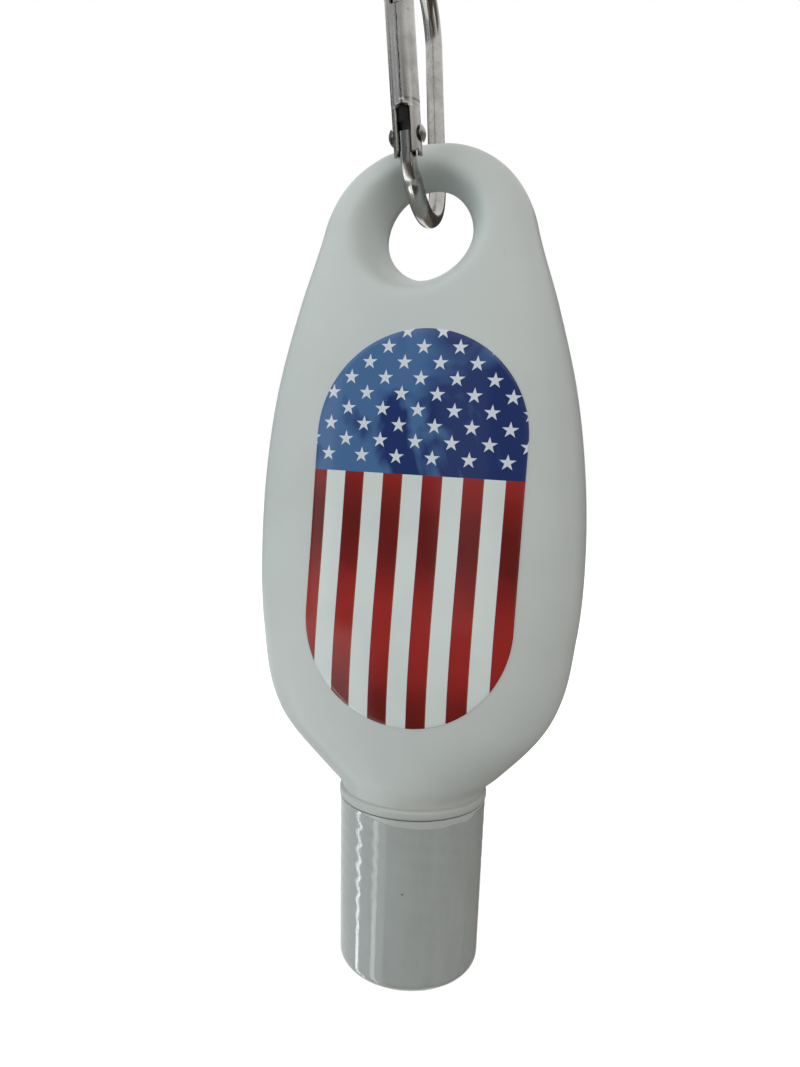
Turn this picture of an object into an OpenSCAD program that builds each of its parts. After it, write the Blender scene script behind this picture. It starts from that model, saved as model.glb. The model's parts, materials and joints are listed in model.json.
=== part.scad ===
// Hanging travel bottle for lotion: a white blow-moulded bottle with an eye through its top,
// a disc-top screw cap under a thin sleeve, and a small snap hook through the eye.
// Lengths are in millimetres and angles in degrees.
// Z is up, the front label faces -Y, and the bottle hangs with its cap down.
// The origin is on the inside of the hook's upper bend, where a strap bears.

/* [Bottle] */
// Width across the belly
body_w = 53; // [50:0.5:56]
// Depth from front to back at the belly
body_d = 28.2; // [26:0.1:29]
// Height from the collar to the top of the eye
body_h = 103.9; // [100:0.1:108]
// Thickness of the bottle's wall
wall = 1.2; // [0.9:0.1:1.5]
// Squareness of the belly's section, where 2 is an ellipse
squareness = 3.1; // [2.4:0.1:3.4]

/* [Eye] */
// Radius of the eye at its pinched edge
eye_r = 7.2; // [6.8:0.1:7.5]
// Distance of the eye's centre below the top of the bottle
eye_drop = 14.2; // [13.8:0.1:15]
// Angle at which the eye opens towards each face
eye_flare = 15; // [8:1:20]
// Thickness of the pinched edge
pinch = 0.8; // [0.5:0.1:1.2]

/* [Collar and neck] */
// Radius of the collar that the cap closes against
collar_r = 12.2; // [12:0.1:12.6]
// Height of the collar
collar_h = 1.5; // [1.1:0.1:1.9]
// Step in from the collar to the foot of the body
foot_step = 0.5; // [0.4:0.1:0.8]
// Radius of the neck's wall
neck_r = 8.8; // [8.6:0.05:8.95]
// Radius of the bore through the neck
neck_bore_r = 7; // [6.6:0.1:7.3]

/* [Thread] */
// Rise of the thread in one turn
pitch = 3.175; // [3:0.025:3.35]
// Height of the neck's thread above its wall
thread_h = 0.95; // [0.8:0.05:1]
// Turns of thread on the neck
neck_turns = 2; // [1.5:0.25:2.25]
// Turns of thread in the cap
cap_turns = 1.5; // [1:0.25:1.75]
// Radial clearance between each thread's crest and the wall that it faces
thread_gap = 0.35; // [0.3:0.05:0.45]

/* [Cap] */
// Radius of the cap at its rim
cap_rim_r = 12; // [11.9:0.05:12.3]
// Radius of the cap at its closed end
cap_end_r = 11.45; // [11.3:0.05:11.7]
// Height of the cap
cap_h = 27.9; // [27.6:0.1:29]
// Radius of the cap's rounded edge
cap_edge = 1.8; // [1.4:0.1:1.9]
// Gap between the cap's rim and the collar
rim_gap = 0.2; // [0.1:0.05:0.4]
// Thickness of the deck across the cap
deck_t = 1.4; // [1:0.1:1.6]
// Height of the plug that enters the neck
plug_h = 2.6; // [1.6:0.1:3.2]
// Thickness of the liner ring
liner_t = 1.05; // [0.8:0.05:1.2]
// Clearance between the seal parts
seal_gap = 0.1; // [0.05:0.05:0.2]

/* [Disc] */
// Radius of the tilting disc
disc_r = 8.8; // [8.6:0.05:8.9]
// Gap between the disc and its pocket
disc_gap = 0.15; // [0.1:0.05:0.2]
// Depth of the disc's face below the end of the cap
disc_sunk = 0.25; // [0.2:0.05:0.4]
// Thickness of the disc's plate
disc_t = 1.65; // [1.4:0.05:1.8]
// Depth of the pocket that the disc sits in
pocket_depth = 6.35; // [6.1:0.05:7]
// Distance of the disc's pivot from the end of the cap
disc_pivot = 2.9; // [2.8:0.05:3.1]
// Radius of the valve barrel round the pivot
barrel_r = 2.6; // [2.4:0.05:2.7]
// Radius of the spout's channel
spout_r = 0.9; // [0.7:0.05:1]
// Tilt at which the spout meets the orifice
disc_tilt = 25; // [20:1:25]

/* [Sleeve] */
// Thickness of the shrunk sleeve
sleeve_t = 0.15; // [0.1:0.05:0.2]
// Distance of the sleeve's upper edge below the cap's rim
sleeve_drop = 1.2; // [0.8:0.1:2]
// Gap between the sleeve and the cap
sleeve_gap = 0.03; // [0.02:0.01:0.05]

/* [Labels] */
// Width of a label
label_w = 32.2; // [28:0.1:34]
// Height of a label
label_h = 59.5; // [50:0.1:60]
// Height of the labels' centre above the collar
label_up = 43; // [40:0.1:44]
// Sideways place of the front label's centre
label_x = 2.3; // [-3:0.1:3]
// Lean of the front label
label_lean = 1.9; // [-3:0.1:3]
// Thickness of a label
label_t = 0.15; // [0.1:0.05:0.25]
// Gap under a label
label_gap = 0.05; // [0.03:0.01:0.08]

/* [Hook] */
// Diameter of the hook's wire
wire_d = 2.9; // [2.7:0.1:3]
// Radius of the lower bend, to the middle of the wire
bend_r = 8.55; // [8.5:0.05:8.8]
// Angle by which each side spreads upwards
spread = 3.9; // [3:0.1:5]
// Height of the wire above the eye's centre
wire_up = 3.2; // [2.8:0.1:3.8]
// Sideways place of the wire in the eye
wire_x = -0.8; // [-1:0.1:1]
// Tilt of the hook against the bottle at rest
hook_tilt = 4.4; // [0:0.1:6]
// Height of the straight sides' upper ends above the lower wire
side_top = 31.5; // [31.4:0.1:34]

/* [Gate] */
// Outer diameter of the gate's tube
gate_d = 4.6; // [4.5:0.05:4.7]
// Wall thickness of the gate's tube
gate_wall = 0.45; // [0.4:0.05:0.5]
// Height of the gate's lower end above the lower wire
gate_low = 5.9; // [5.8:0.1:6.2]
// Height of the gate's upper end above the lower wire
gate_top = 30.4; // [29:0.1:30.5]
// Height of the gate's pivot above the lower wire
pivot_up = 9; // [8.9:0.1:9.4]
// Length of the slot above the pivot
slot_up = 3.6; // [3.4:0.1:4.5]
// Thickness of the wire's flattened ends
tongue_t = 2; // [1.8:0.05:2.1]
// Width of the flattened end at the pivot
tongue_w = 3.2; // [3:0.1:3.3]
// Height of the flattened end above the pivot
tongue_up = 1.5; // [1.3:0.1:1.7]
// Radius of the pivot rivet
rivet_r = 0.7; // [0.6:0.05:0.8]
// Radius of the latch pin
latch_r = 0.5; // [0.4:0.05:0.55]
// Distance of the latch pin below the gate's upper end
latch_drop = 1.5; // [1.4:0.1:1.7]
// Running clearance of the rivet in the gate
rivet_gap = 0.05; // [0.03:0.01:0.08]
// Clearance beside the flattened ends in the gate's slots
slot_gap = 0.1; // [0.08:0.01:0.15]

/* [Gate spring] */
// Radius of the spring's coil, to the middle of its wire
coil_r = 1.35; // [1.25:0.05:1.4]
// Radius of the spring's wire
spring_wire_r = 0.2; // [0.16:0.01:0.24]
// Turns of the spring
spring_turns = 10; // [8:1:12]
// Length of the plunger's head
plunger_h = 2.6; // [2:0.1:3]
// Clearance round the plunger
plunger_gap = 0.1; // [0.06:0.01:0.15]

/* [Hidden] */
$fn = 64;

eps = 0.01;

// Heights above the closed end of the cap
collar_z = cap_h + rim_gap;
foot_z = collar_z + collar_h;
top_z = foot_z + body_h;
eye_z = top_z - eye_drop;
deck_z = pocket_depth + deck_t;
neck_end_z = deck_z + liner_t + 2*seal_gap;
neck_len = collar_z - neck_end_z;
// The bottle is one moulding, drawn in three parts that meet at the collar and under the eye
eye_part = 15.8;
part_z = eye_z - eye_part;
wire_z = eye_z + wire_up;

// The hook's own heights run up from the middle of the wire in the lower bend
wire_r = wire_d/2;
tangent_z = bend_r*(1 - sin(spread));
tangent_y = bend_r*cos(spread);
side_y = tangent_y + (side_top - tangent_z)*tan(spread);
top_bend_r = side_y/cos(spread);
top_bend_z = side_top + top_bend_r*sin(spread);
strap_z = top_bend_z + top_bend_r - wire_r;

// The origin, seen from the closed end of the cap
strap_point = [wire_x - strap_z*sin(hook_tilt), 0, wire_z + strap_z*cos(hook_tilt)];

// Width of a thread ridge at its root and at its crest
ridge_root = 1.7;
ridge_crest = 0.8;
// Height of the neck's first turn above the neck's end
thread_start = 2;

// Radii and clearances inside the cap
skirt_r = neck_r + thread_h + thread_gap;
plug_r = neck_bore_r - 2*seal_gap;
pocket_r = disc_r + disc_gap;
orifice_r = spout_r + 0.2;
// Saddle in the deck that the valve barrel turns in
saddle_w = 6.8;
saddle_gap = 0.15;
saddle_wall = 0.4;
saddle_depth = 1.7;
// Ears under the disc, with the trunnions that it tilts on
ear_t = 1.2;
ear_r = 2;
ear_inset = 0.5;
trunnion_r = 0.9;
trunnion_gap = 0.07;
trunnion_len = 0.75;
// Distance of the sleeve's lip outside the disc's pocket
sleeve_lip = 0.2;
barrel_len = 6;
spout_w = 3.6;
spout_cover = 0.6;

// The gate's bore and slots, and the wire's flattened ends
gate_bore_r = gate_d/2 - gate_wall;
slot_w = tongue_t + 2*slot_gap;
inner_slot_up = tongue_up + 2*slot_gap;
tongue_low = gate_low - 1;
tongue_bend = acos(1 - tongue_low/bend_r);
latch_z = gate_top - latch_drop;
nose_t = tongue_t - 0.2;
nose_w = 2.6;
nose_reach = 1.7;
nose_room = 0.5;
nose_base = 0.3;
notch_gap = 0.15;
// Clearance of a pin in the piece that holds it
pin_fit = 0.02;
// Crimp in the gate that the spring pushes against
crimp_h = 0.5;
crimp_drop = 0.9;
nose_slot_z = latch_z - nose_reach - nose_room;
crimp_z = nose_slot_z - crimp_drop;
// Rivet's domed heads
head_r = 1.25;
head_gap = 0.05;
// Plunger under the spring, its stem, and the play at each end of the spring
stem_r = coil_r - spring_wire_r - 0.15;
stem_len = 2;
plunger_play = 0.08;
spring_play = 0.05;

// Half width at eighths and half depth at fifths of the body's height, as shares of the largest
foot_r = collar_r - foot_step;
wide_shape = [2*foot_r/body_w, 0.85, 0.968, 1, 0.979, 0.912, 0.791, 0.646, 0.583];
deep_shape = [2*foot_r/body_d, 1, 0.95, 0.887, 0.667, 0.333];
// Share of the height over which the width closes at the top, and the depth
close_w = 0.13;
close_d = 0.06;
// Share of the height over which the round shoulder becomes the belly's section
round_part = 0.12;

// A smooth curve through evenly spaced values
function curve(v, t) =
    let (n = len(v) - 1, s = min(max(t, 0), 1)*n, i = min(floor(s), n - 1), f = s - i,
         p = v[i], q = v[i + 1],
         o = i == 0 ? 2*p - q : v[i - 1],
         r = i == n - 1 ? 2*q - p : v[i + 2])
    p + f/2*((q - o) + f*((2*o - 5*p + 4*q - r) + f*(3*(p - q) + r - o)));
// Falls from 1 to 0 along a quarter ellipse over the last part of the height
function closing(t, part) = t <= 1 - part ? 1 : sqrt(max(0, 1 - pow((t - 1 + part)/part, 2)));
function half_w(t, inset = 0) = (body_w/2*curve(wide_shape, t) - inset)*closing(t, close_w);
function half_d(t, inset = 0) =
    (body_d/2*curve(deep_shape, t) - inset)*(0.2 + 0.8*closing(t, close_d));
function section_power(t) =
    let (s = min(1, t/round_part)) 2 + (squareness - 2)*s*s*(3 - 2*s);
function signed_power(a, e) = sign(a)*pow(abs(a), e);
function section_point(t, a, inset) =
    let (e = 2/section_power(t))
    [half_w(t, inset)*signed_power(cos(a), e), half_d(t, inset)*signed_power(sin(a), e)];
// Depth of the outer face at a point seen from the front
function face_y(x, z) =
    let (t = (z - foot_z)/body_h, n = section_power(t))
    half_d(t)*pow(max(0, 1 - pow(abs(x)/half_w(t), n)), 1/n);

// Triangles that join a stack of equal rings, with a point at each end
function skin_faces(rings, sides) = concat(
    [for (j = [0:sides - 1]) [0, 1 + j, 1 + (j + 1)%sides]],
    [for (i = [0:rings - 2], j = [0:sides - 1], k = [0, 1])
        let (a = 1 + i*sides + j, b = 1 + i*sides + (j + 1)%sides)
        k == 0 ? [a, a + sides, b] : [b, a + sides, b + sides]],
    [for (j = [0:sides - 1])
        let (m = 1 + (rings - 1)*sides)
        [rings*sides + 1, m + (j + 1)%sides, m + j]]);

// The body's smooth form between two heights, drawn in by an inset
module body_form(low, high, inset, straight, round, sides) {
    steps = concat(
        [for (i = [0:straight - 1]) (1 - close_w)*i/straight],
        [for (i = [0:round]) 1 - close_w + close_w*sin(88.5*i/round)]);
    points = concat(
        [[0, 0, low]],
        [for (t = steps, j = [0:sides - 1])
            concat(section_point(t, 360*j/sides, inset), low + (high - low)*t)],
        [[0, 0, high]]);
    polyhedron(points, skin_faces(len(steps), sides));
}

// One thread ridge, as a wedge section that winds up a wall and fades at both ends
module ridge(wall_r, height, turns, low) {
    per_turn = 36;
    count = round(turns*per_turn);
    fade = 4;
    inner = wall_r - 0.3*sign(height);
    function rise(i) = height*max(0.1, min(1, i/fade, (count - i)/fade));
    function ring(i) =
        let (a = 360*i/per_turn, z = low + pitch*i/per_turn)
        [for (c = [[inner, -ridge_root/2], [wall_r + rise(i), -ridge_crest/2],
                   [wall_r + rise(i), ridge_crest/2], [inner, ridge_root/2]])
            [c[0]*cos(a), c[0]*sin(a), z + c[1]]];
    points = [for (i = [0:count]) each ring(i)];
    sides = concat(
        [for (i = [0:count - 1], j = [0:3], k = [0, 1])
            let (a = 4*i + j, b = 4*i + (j + 1)%4)
            k == 0 ? [a, a + 4, b] : [b, a + 4, b + 4]],
        [[0, 1, 2], [0, 2, 3]],
        [[4*count, 4*count + 2, 4*count + 1], [4*count, 4*count + 3, 4*count + 2]]);
    polyhedron(points, height < 0 ? sides : [for (f = sides) [f[0], f[2], f[1]]]);
}

module from_cap_end() translate(-strap_point) children();
module from_wire() from_cap_end()
    translate([wire_x, 0, wire_z]) rotate([0, -hook_tilt, 0]) children();

// The eye, as a solid to be cut away: a short land at the pinched edge and a flare to each face
module eye_cut(grow, land) {
    reach = body_d/2 + 1;
    far_r = eye_r + (reach - land)*tan(eye_flare);
    translate([0, 0, eye_z]) rotate([90, 0, 0]) rotate_extrude($fn = 96)
        polygon([[0, -reach], [far_r + grow, -reach], [eye_r + grow, -land], [eye_r + grow, land],
                 [far_r + grow, reach], [0, reach]]);
}

// The body between two heights, with its cavity and the bore through its foot
module body_part(low, high) difference() {
    body_form(foot_z, top_z, 0, 26, 10, 48);
    eye_cut(0, pinch/2);
    difference() {
        body_form(foot_z + wall, top_z - wall, wall, 18, 8, 36);
        eye_cut(wall, pinch/2);
    }
    translate([0, 0, foot_z - 1]) cylinder(r = neck_bore_r, h = 2*wall + 1);
    if (low > foot_z) translate([-body_w, -body_w, low - body_h]) cube([2*body_w, 2*body_w, body_h]);
    if (high < top_z) translate([-body_w, -body_w, high]) cube([2*body_w, 2*body_w, body_h]);
}

module bottle_body() color([0.87, 0.88, 0.86]) from_cap_end() body_part(foot_z, part_z);
module bottle_top() color([0.87, 0.88, 0.86]) from_cap_end() body_part(part_z, top_z + 1);
module bottle_neck() color([0.87, 0.88, 0.86]) from_cap_end() difference() {
    union() {
        translate([0, 0, collar_z]) cylinder(r = collar_r, h = collar_h);
        translate([0, 0, neck_end_z]) cylinder(r = neck_r, h = neck_len + eps);
        ridge(neck_r, thread_h, neck_turns, neck_end_z + thread_start);
    }
    translate([0, 0, neck_end_z - eps]) cylinder(r = neck_bore_r, h = neck_len + collar_h + 2*eps);
}

// Outline of a label, with straight sides and half-round ends
function label_outline() =
    let (r = label_w/2, s = label_h/2 - r, side = 6, arc = 15)
    concat([for (i = [0:arc]) [r*cos(180*i/arc), s + r*sin(180*i/arc)]],
           [for (i = [1:side - 1]) [-r, s - 2*s*i/side]],
           [for (i = [0:arc]) [-r*cos(180*i/arc), -s - r*sin(180*i/arc)]],
           [for (i = [1:side - 1]) [r, -s + 2*s*i/side]]);

// A thin sheet that follows the front face
module label(place_x, lean) {
    edge = label_outline();
    n = len(edge);
    loops = 8;
    centre_z = foot_z + label_up;
    function on_face(p, out) =
        let (x = place_x + p[0]*cos(lean) + p[1]*sin(lean),
             z = centre_z - p[0]*sin(lean) + p[1]*cos(lean))
        [x, -face_y(x, z) - out, z];
    lower = label_gap;
    upper = label_gap + label_t;
    points = concat(
        [on_face([0, 0], upper)],
        [for (k = [1:loops], p = edge) on_face(p*k/loops, upper)],
        [for (k = [loops:-1:1], p = edge) on_face(p*k/loops, lower)],
        [on_face([0, 0], lower)]);
    faces = skin_faces(2*loops, n);
    polyhedron(points, [for (f = faces) [f[0], f[2], f[1]]]);
}

module front_label() color([0.35, 0.4, 0.65]) from_cap_end() label(label_x, label_lean);
module back_label() color([0.95, 0.95, 0.94]) from_cap_end() rotate([0, 0, 180]) label(0, 0);

// Half section of the cap's outside, grown by a distance
module cap_profile(grow) {
    polygon([[0, -grow], [cap_end_r - cap_edge, -grow], [cap_end_r + grow, cap_edge],
             [cap_rim_r + grow, cap_h], [0, cap_h]]);
    translate([cap_end_r - cap_edge, cap_edge]) intersection() {
        circle(r = cap_edge + grow);
        translate([0, -2*cap_h]) square(2*cap_h);
    }
}

// A round bar along X, by its radius and half length
module across(r, x) rotate([0, 90, 0]) translate([0, 0, -x]) cylinder(r = r, h = 2*x);

module cap_shell() color([0.9, 0.91, 0.89]) from_cap_end() difference() {
    saddle_r = barrel_r + saddle_gap;
    saddle_z = disc_pivot + saddle_depth;
    saddle_d = 2*(saddle_r + saddle_wall);
    union() {
        difference() {
            rotate_extrude($fn = 96) cap_profile(0);
            translate([0, 0, deck_z]) cylinder(r = skirt_r, h = cap_h);
            translate([0, 0, -eps]) cylinder(r = pocket_r, h = pocket_depth + eps);
        }
        translate([0, 0, deck_z - eps]) cylinder(r = plug_r, h = plug_h);
        translate([-saddle_w/2, -saddle_d/2, saddle_z])
            cube([saddle_w, saddle_d, pocket_depth - saddle_z + eps]);
        ridge(skirt_r, -thread_h, cap_turns, neck_end_z + thread_start + pitch/2);
    }
    translate([0, 0, disc_pivot]) across(saddle_r, saddle_w/2 + 1);
    translate([0, 0, disc_pivot])
        across(trunnion_r + trunnion_gap, pocket_r + trunnion_len + trunnion_gap);
    translate([0, 0, deck_z]) cylinder(r = plug_r - wall, h = plug_h + 1);
    translate([0, 0, disc_pivot]) cylinder(r = orifice_r, h = deck_z);
}

module cap_disc() color([0.86, 0.87, 0.85]) from_cap_end() translate([0, 0, disc_pivot]) difference() {
    // Heights are from the pivot here
    plate_top = disc_sunk + disc_t - disc_pivot;
    ear_x = disc_r - ear_inset - ear_t/2;
    union() {
        intersection() {
            sphere(r = disc_r);
            union() {
                translate([0, 0, disc_sunk - disc_pivot]) cylinder(r = disc_r, h = disc_t);
                across(barrel_r, barrel_len/2);
                translate([-spout_w/2, -disc_r, plate_top - eps])
                    cube([spout_w, disc_r, spout_r + spout_cover - plate_top]);
                for (side = [-1, 1]) translate([side*ear_x, 0, 0]) across(ear_r, ear_t/2);
            }
        }
        for (side = [-1, 1]) translate([side*(ear_x + pocket_r + trunnion_len)/2, 0, 0])
            across(trunnion_r, (pocket_r + trunnion_len - ear_x)/2);
    }
    // The spout's channel, the small chamber at its inner end and the way down to the orifice
    rotate([90, 0, 0]) cylinder(r = spout_r, h = disc_r + 1);
    sphere(r = 1.25*spout_r);
    rotate([-disc_tilt, 0, 0]) cylinder(r = spout_r, h = barrel_r + 1);
}

module cap_liner() color([0.93, 0.93, 0.9]) from_cap_end() translate([0, 0, deck_z + seal_gap])
    difference() {
        cylinder(r = neck_r + thread_h/2, h = liner_t);
        translate([0, 0, -1]) cylinder(r = plug_r + seal_gap, h = liner_t + 2);
    }

module shrink_sleeve() color([0.92, 0.94, 0.95]) from_cap_end() rotate_extrude($fn = 96) intersection() {
    difference() {
        cap_profile(sleeve_gap + sleeve_t);
        cap_profile(sleeve_gap);
    }
    translate([pocket_r + sleeve_lip, -1]) square([cap_rim_r, cap_h - sleeve_drop + 1]);
}

// The middle of the gate at a height, from the middle of the lower bend's wire
function side_at(z) = [0, -tangent_y - (z - tangent_z)*tan(spread), z];
module on_gate(z) translate(side_at(z)) rotate([spread, 0, 0]) children();

// A flat blade across X, drawn in the plane of the hook
module blade(thick) rotate([90, 0, 90]) translate([0, 0, -thick/2]) linear_extrude(thick) children();

// The wire's straight and bent lengths stop this far from their shared end, inside a ball
seam_gap = 0.1;
seam = 0.6;
seam_swell = 0.03;

// A bend of the hook's wire in its plane, between two angles counted from straight down
module wire_bend(radius, centre_z, from, to)
    translate([0, 0, centre_z]) rotate([0, 90, 0]) rotate([0, 0, from])
        rotate_extrude(angle = to - from, $fn = 96) translate([radius, 0]) circle(r = wire_r);

module hook_frame() color([0.6, 0.6, 0.58]) from_wire() difference() {
    union() {
        // Lower bend, from the flattened end under the gate round to the plain side
        wire_bend(bend_r, bend_r, -tongue_bend, 90 - spread - seam);
        // Plain side
        translate([0, tangent_y, tangent_z]) rotate([-spread, 0, 0]) translate([0, 0, seam_gap])
            cylinder(r = wire_r, h = (side_top - tangent_z)/cos(spread) - 2*seam_gap);
        // Upper bend, round to the nose
        wire_bend(top_bend_r, top_bend_z, 90 - spread + seam, 270 + spread - seam);
        on_gate(gate_top + nose_base)
            cylinder(r = wire_r, h = (side_top - gate_top - nose_base)/cos(spread) - seam_gap);
        // Balls a hair wider than the wire that join the bends to the straight sides
        for (y_z = [[tangent_y, tangent_z], [side_y, side_top], [-side_y, side_top]])
            translate([0, y_z[0], y_z[1]]) sphere(r = wire_r + seam_swell);
        // Flattened end that the gate turns on
        on_gate(pivot_up) blade(tongue_t)
            translate([-tongue_w/2, tongue_low - pivot_up])
                square([tongue_w, pivot_up - tongue_low + tongue_up]);
        // Flattened nose that the gate closes over
        on_gate(latch_z) blade(nose_t)
            translate([-nose_w/2, -nose_reach]) square([nose_w, latch_drop + 2*nose_base + nose_reach]);
    }
    on_gate(pivot_up) across(rivet_r + pin_fit, tongue_t);
    // Notch that holds the latch pin
    on_gate(latch_z) blade(tongue_t + 1) {
        circle(r = latch_r + notch_gap);
        translate([0, -latch_r - notch_gap]) square([nose_w, 2*(latch_r + notch_gap)]);
    }
}

module gate_tube() color([0.66, 0.66, 0.64]) from_wire() difference() {
    on_gate(gate_low) cylinder(r = gate_d/2, h = gate_top - gate_low);
    difference() {
        on_gate(gate_low) translate([0, 0, -1]) cylinder(r = gate_bore_r, h = gate_top - gate_low + 2);
        // Crimp that the spring pushes against
        on_gate(crimp_z) difference() {
            cylinder(r = gate_d/2, h = crimp_h);
            translate([0, 0, -1]) cylinder(r = stem_r, h = crimp_h + 2);
        }
    }
    // Slot in the outer wall for the flattened end, and a short one in the inner wall
    on_gate(gate_low) translate([-slot_w/2, -gate_d, -1])
        cube([slot_w, gate_d, pivot_up - gate_low + slot_up + 1]);
    on_gate(gate_low) translate([-slot_w/2, 0, -1])
        cube([slot_w, gate_d, pivot_up - gate_low + inner_slot_up + 1]);
    // Slot that passes the nose
    on_gate(nose_slot_z) translate([-slot_w/2, -gate_d, 0])
        cube([slot_w, gate_d, gate_top - nose_slot_z + 1]);
    on_gate(pivot_up) across(rivet_r + rivet_gap, gate_d);
    on_gate(latch_z) across(latch_r + pin_fit, gate_d);
}

module gate_rivet() color([0.55, 0.54, 0.52]) from_wire() on_gate(pivot_up) {
    across(rivet_r, gate_d/2 + head_gap + 0.25);
    for (side = [-1, 1]) rotate([0, side*90, 0]) translate([0, 0, gate_d/2 + head_gap])
        rotate_extrude() intersection() {
            translate([0, -head_r]) circle(r = head_r*sqrt(2));
            square(head_r);
        }
}

module gate_latch_pin() color([0.6, 0.6, 0.58]) from_wire() on_gate(latch_z)
    across(latch_r, gate_d/2 - head_gap);

plunger_low = pivot_up + tongue_up + plunger_play;
module gate_plunger() color([0.3, 0.3, 0.3]) from_wire() on_gate(plunger_low) {
    cylinder(r = gate_bore_r - plunger_gap, h = plunger_h);
    cylinder(r = stem_r, h = plunger_h + stem_len);
}

// The spring is one round wire along a helix, between the plunger's shoulder and the crimp
spring_low = plunger_low + plunger_h + spring_wire_r + spring_play;
spring_high = crimp_z - spring_wire_r - spring_play;
spring_rise = (spring_high - spring_low)/spring_turns;
echo(spring_gap = spring_rise*cos(atan(spring_rise/(2*PI*coil_r))) - 2*spring_wire_r);
module coil() {
    per_turn = 8;
    sides = 6;
    count = spring_turns*per_turn;
    function ring(i) =
        let (a = 360*i/per_turn, z = spring_rise*i/per_turn)
        [for (j = [0:sides - 1])
            let (b = 360*j/sides, r = coil_r + spring_wire_r*cos(b))
            [r*cos(a), r*sin(a), z + spring_wire_r*sin(b)]];
    function middle(i) =
        [coil_r*cos(360*i/per_turn), coil_r*sin(360*i/per_turn), spring_rise*i/per_turn];
    points = concat([middle(0)], [for (i = [0:count]) each ring(i)], [middle(count)]);
    polyhedron(points, skin_faces(count + 1, sides));
}
module gate_spring() color([0.5, 0.5, 0.5]) from_wire() on_gate(spring_low) coil();

bottle_neck();
bottle_body();
bottle_top();
front_label();
back_label();
cap_shell();
cap_disc();
cap_liner();
shrink_sleeve();
hook_frame();
gate_tube();
gate_rivet();
gate_latch_pin();
gate_plunger();
gate_spring();
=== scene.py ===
"""Dresses a hanging travel bottle: its moulded body, labels, cap film, snap hook, materials and stage.

Lengths in the code are in millimetres, counted from the middle of the cap's closed end,
and every piece is turned into metres in the frame's own axes when its mesh is made.
"""

import json
import math

import bmesh
import bpy
import numpy as np
from bpy.props import FloatProperty, FloatVectorProperty, PointerProperty
from mathutils import Matrix, Vector


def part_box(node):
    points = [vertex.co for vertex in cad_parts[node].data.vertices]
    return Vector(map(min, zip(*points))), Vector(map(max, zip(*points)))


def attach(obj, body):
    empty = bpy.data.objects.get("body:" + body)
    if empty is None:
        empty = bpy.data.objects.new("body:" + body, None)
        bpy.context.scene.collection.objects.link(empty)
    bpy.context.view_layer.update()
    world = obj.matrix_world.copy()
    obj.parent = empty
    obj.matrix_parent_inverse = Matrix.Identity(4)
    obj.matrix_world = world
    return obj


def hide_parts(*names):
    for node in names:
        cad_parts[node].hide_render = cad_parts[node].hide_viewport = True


bl_info = {
    "name": "Hanging travel bottle",
    "version": (1, 0, 0),
    "blender": (4, 5, 0),
    "location": "3D View > Sidebar > Bottle",
    "description": "Dresses a hanging lotion bottle with its labels, cap film and snap hook",
    "category": "Object",
}

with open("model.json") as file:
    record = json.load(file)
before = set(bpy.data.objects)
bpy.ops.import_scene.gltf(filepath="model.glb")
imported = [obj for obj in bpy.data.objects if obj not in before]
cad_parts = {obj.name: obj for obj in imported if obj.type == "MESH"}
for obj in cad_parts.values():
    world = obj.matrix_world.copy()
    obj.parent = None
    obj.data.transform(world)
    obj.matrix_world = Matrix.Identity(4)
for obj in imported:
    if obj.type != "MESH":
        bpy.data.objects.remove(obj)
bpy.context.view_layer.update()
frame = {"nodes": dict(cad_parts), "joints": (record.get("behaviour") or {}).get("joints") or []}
NODES = frame["nodes"]
JOINTS = {joint["name"]: joint for joint in frame["joints"]}

MM = 0.001


def node_box(name):
    """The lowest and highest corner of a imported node, in millimetres."""
    low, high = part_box(name)
    return np.array(low) / MM, np.array(high) / MM


CAP_LOW, CAP_HIGH = node_box("cap_shell")
BODY_LOW = node_box("bottle_body")[0]
TOP_HIGH = node_box("bottle_top")[1]
# Middle of the cap's closed end
CAP_END = np.array([(CAP_LOW[0] + CAP_HIGH[0]) / 2, 0.0, CAP_LOW[2]])
FOOT_Z = BODY_LOW[2] - CAP_END[2]
TOP_Z = TOP_HIGH[2] - CAP_END[2]
BODY_H = TOP_Z - FOOT_Z
CAP_H = CAP_HIGH[2] - CAP_LOW[2]

# The hook's own axes, from the pin that the gate turns on and the point that the bottle swings about
HOOK_AT = np.array(JOINTS["bottle_swing"]["pos_m"]) / MM - CAP_END
HOOK_X = -np.array(JOINTS["gate_hinge"]["axis"])
HOOK_Z = np.cross(HOOK_X, (0.0, 1.0, 0.0))


# Sizes and colours that a user may change


def length(name, description, default, low, high):
    """A length in metres that a user may change."""
    return FloatProperty(name=name, description=description, default=default, min=low, max=high,
                         unit="LENGTH", subtype="DISTANCE")


def colour(name, description, default):
    """A linear colour that a user may change."""
    return FloatVectorProperty(name=name, description=description, default=default, size=3,
                               min=0.0, max=1.0, subtype="COLOR")


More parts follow.
